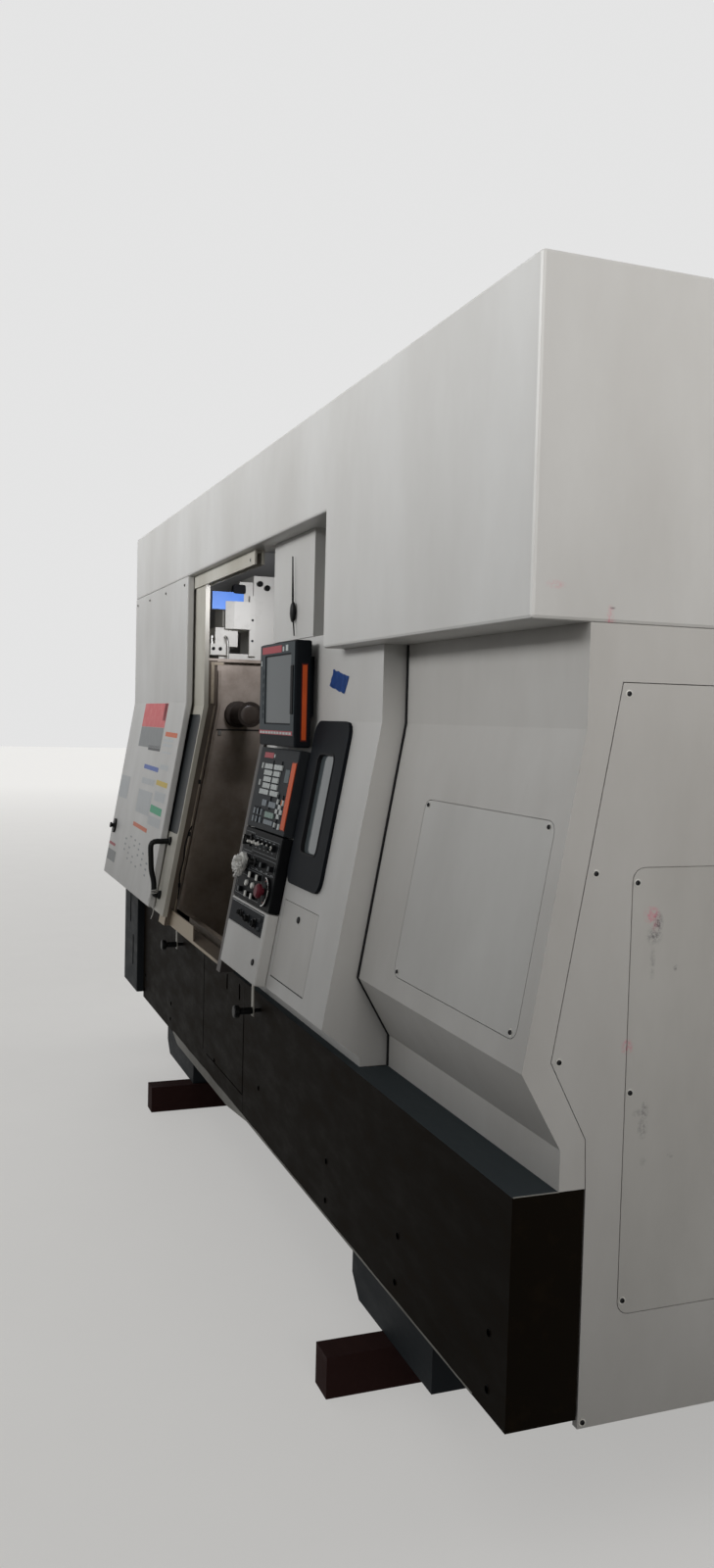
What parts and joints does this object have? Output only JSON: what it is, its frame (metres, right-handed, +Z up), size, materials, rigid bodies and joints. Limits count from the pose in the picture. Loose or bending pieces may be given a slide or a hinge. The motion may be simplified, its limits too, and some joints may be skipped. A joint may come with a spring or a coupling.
{
  "type": "cnc turning lathe",
  "caption": "Slant-front CNC turning centre with a sliding front door, operator panel, chuck, tailstock and swivelling milling head on a low black base.",
  "frame": {"origin": "on the floor, at the middle of the machine's bounding box seen from above", "axes": "+X runs along the spindle towards the tailstock end, +Y to the back of the machine, +Z up"},
  "size_m": [4.613, 2.7504, 2.8],
  "materials": {
    "black_grey_paint": "matt, near black",
    "black_knob_plastic": "semi-gloss, black",
    "black_panel_plastic": "matt, black",
    "blue_paint": "satin, light blue",
    "bright_steel": "ground steel",
    "dark_cast_paint": "painted casting, dark blue-grey",
    "dark_glass": "smooth, dark",
    "dark_room_steel": "dark, worn sheet steel",
    "grey_green_glass": "smooth, grey-green",
    "grey_machine_paint": "satin, mid grey",
    "light_grey_paint": "satin, light warm grey",
    "red_brown_beam": "matt, dark red-brown",
    "red_plastic": "glossy, red",
    "white_plastic": "satin, white"
  },
  "bodies": {
    "machine": {"antenna": "black_knob_plastic", "base_skirt_left": "black_grey_paint", "base_skirt_right": "black_grey_paint", "bed_casting": "dark_cast_paint", "blue_plate": "blue_paint", "centre_cover": "light_grey_paint", "control_panel": "black_panel_plastic", "display_screen": "grey_green_glass", "display_unit": "black_panel_plastic", "door_rail": "light_grey_paint", "headstock": "grey_machine_paint", "hood": "light_grey_paint", "keyboard_unit": "black_panel_plastic", "left_corner_cover": "dark_cast_paint", "left_cover": "light_grey_paint", "left_cover_knob": "black_knob_plastic", "left_end_cover": "light_grey_paint", "magazine_housing": "light_grey_paint", "opening_frame": "dark_room_steel", "pendant_box": "light_grey_paint", "rear_cabinet": "light_grey_paint", "rear_cover": "light_grey_paint", "right_access_panel": "light_grey_paint", "right_end_cover": "light_grey_paint", "right_end_panel": "light_grey_paint", "right_front_cover": "light_grey_paint", "room_liner": "dark_room_steel", "skirt_strap_left": "light_grey_paint", "skirt_strap_right": "light_grey_paint", "support_beam_left": "red_brown_beam", "support_beam_right": "red_brown_beam", "upper_box": "light_grey_paint", "window_frame": "black_panel_plastic", "window_glass": "grey_green_glass", "work_lamp": "dark_cast_paint"},
    "door": {"door_leaf": "light_grey_paint", "door_window": "dark_glass", "door_handle": "black_knob_plastic"},
    "service_hatch": {"service_hatch": "light_grey_paint"},
    "hatch_lock": {"hatch_lock": "bright_steel"},
    "pendant_lock": {"pendant_lock": "bright_steel"},
    "handwheel": {"handwheel": "white_plastic"},
    "emergency_stop": {"emergency_stop": "red_plastic"},
    "feed_override_knob": {"feed_override_knob": "black_knob_plastic"},
    "speed_override_knob": {"speed_override_knob": "black_knob_plastic"},
    "cycle_start_button": {"cycle_start_button": "white_plastic"},
    "feed_hold_button": {"feed_hold_button": "white_plastic"},
    "clamp_knob_left": {"clamp_knob_left": "black_knob_plastic"},
    "clamp_knob_right": {"clamp_knob_right": "black_knob_plastic"},
    "chuck": {"chuck": "bright_steel"},
    "chuck_jaw_1": {"chuck_jaw_1": "bright_steel"},
    "chuck_jaw_2": {"chuck_jaw_2": "bright_steel"},
    "chuck_jaw_3": {"chuck_jaw_3": "bright_steel"},
    "tailstock": {"tailstock": "grey_machine_paint"},
    "tail_centre": {"tail_centre": "bright_steel"},
    "carriage": {"carriage": "grey_machine_paint"},
    "saddle": {"saddle": "grey_machine_paint"},
    "ram": {"ram": "bright_steel"},
    "milling_head": {"milling_head": "light_grey_paint"},
    "tool_spindle": {"tool_spindle": "bright_steel"}
  },
  "joints": [
    {"name": "door_slide", "type": "slide", "parent": "machine", "child": "door", "axis": [1, 0, 0], "range_m": [0, 0.965]},
    {"name": "service_hatch_hinge", "type": "hinge", "parent": "machine", "child": "service_hatch", "pos_m": [0.931, -1.28264, 0.9873], "axis": [1, 0, 0], "range_deg": [0, 70]},
    {"name": "hatch_lock_turn", "type": "hinge", "parent": "service_hatch", "child": "hatch_lock", "pos_m": [0.931, -1.24471, 1.19401], "axis": [0, -0.9836, 0.1805], "range_deg": [0, 90]},
    {"name": "pendant_lock_turn", "type": "hinge", "parent": "machine", "child": "pendant_lock", "pos_m": [0.6715, -1.31873, 1.01225], "axis": [0, -0.9836, 0.1805], "range_deg": [0, 90]},
    {"name": "handwheel_turn", "type": "hinge", "parent": "machine", "child": "handwheel", "pos_m": [0.3595, -1.26424, 1.30922], "axis": [0, -0.9836, 0.1805], "continuous": true},
    {"name": "emergency_stop_press", "type": "slide", "parent": "machine", "child": "emergency_stop", "axis": [0, 0.9836, -0.1805], "range_m": [0, 0.006]},
    {"name": "feed_override_turn", "type": "hinge", "parent": "machine", "child": "feed_override_knob", "pos_m": [0.3695, -1.24937, 1.39031], "axis": [0, -0.9836, 0.1805], "range_deg": [-150, 150]},
    {"name": "speed_override_turn", "type": "hinge", "parent": "machine", "child": "speed_override_knob", "pos_m": [0.4765, -1.2617, 1.32311], "axis": [0, -0.9836, 0.1805], "range_deg": [-150, 150]},
    {"name": "cycle_start_press", "type": "slide", "parent": "machine", "child": "cycle_start_button", "axis": [0, 0.9836, -0.1805], "range_m": [0, 0.004], "stiffness_N_per_m": 400, "springref_m": -0.0015},
    {"name": "feed_hold_press", "type": "slide", "parent": "machine", "child": "feed_hold_button", "axis": [0, 0.9836, -0.1805], "range_m": [0, 0.004], "stiffness_N_per_m": 400, "springref_m": -0.0015},
    {"name": "clamp_left_turn", "type": "hinge", "parent": "machine", "child": "clamp_knob_left", "pos_m": [-0.9555, -1.19913, 0.77], "axis": [0, -1, 0], "range_deg": [0, 90]},
    {"name": "clamp_right_turn", "type": "hinge", "parent": "machine", "child": "clamp_knob_right", "pos_m": [0.3565, -1.19913, 0.77], "axis": [0, -1, 0], "range_deg": [0, 90]},
    {"name": "chuck_spin", "type": "hinge", "parent": "machine", "child": "chuck", "pos_m": [-1.1185, -0.47912, 1.28], "axis": [1, 0, 0], "continuous": true},
    {"name": "jaw_1_slide", "type": "slide", "parent": "chuck", "child": "chuck_jaw_1", "axis": [0, 0, 1], "range_m": [-0.02, 0.015]},
    {"name": "jaw_2_slide", "type": "slide", "parent": "chuck", "child": "chuck_jaw_2", "axis": [0, -0.866, -0.5], "range_m": [-0.02, 0.015]},
    {"name": "jaw_3_slide", "type": "slide", "parent": "chuck", "child": "chuck_jaw_3", "axis": [0, 0.866, -0.5], "range_m": [-0.02, 0.015]},
    {"name": "tailstock_slide", "type": "slide", "parent": "machine", "child": "tailstock", "axis": [-1, 0, 0], "range_m": [0, 1]},
    {"name": "tail_centre_spin", "type": "hinge", "parent": "tailstock", "child": "tail_centre", "pos_m": [0.4065, -0.47912, 1.28], "axis": [-1, 0, 0], "continuous": true},
    {"name": "carriage_slide", "type": "slide", "parent": "machine", "child": "carriage", "axis": [1, 0, 0], "range_m": [-0.15, 0.85]},
    {"name": "saddle_slide", "type": "slide", "parent": "carriage", "child": "saddle", "axis": [0, 0, 1], "range_m": [-0.35, 0.05]},
    {"name": "ram_slide", "type": "slide", "parent": "saddle", "child": "ram", "axis": [0, -1, 0], "range_m": [0, 0.25]},
    {"name": "milling_head_swivel", "type": "hinge", "parent": "ram", "child": "milling_head", "pos_m": [-0.2935, -0.17944, 1.98], "axis": [0, 1, 0], "range_deg": [-120, 120]},
    {"name": "tool_spindle_spin", "type": "hinge", "parent": "milling_head", "child": "tool_spindle", "pos_m": [-0.2935, -0.35944, 1.66], "axis": [0, 0, -1], "continuous": true}
  ],
  "couplings": [
    {"joint": "jaw_2_slide", "follows": "jaw_1_slide", "ratio": 1},
    {"joint": "jaw_3_slide", "follows": "jaw_1_slide", "ratio": 1}
  ]
}
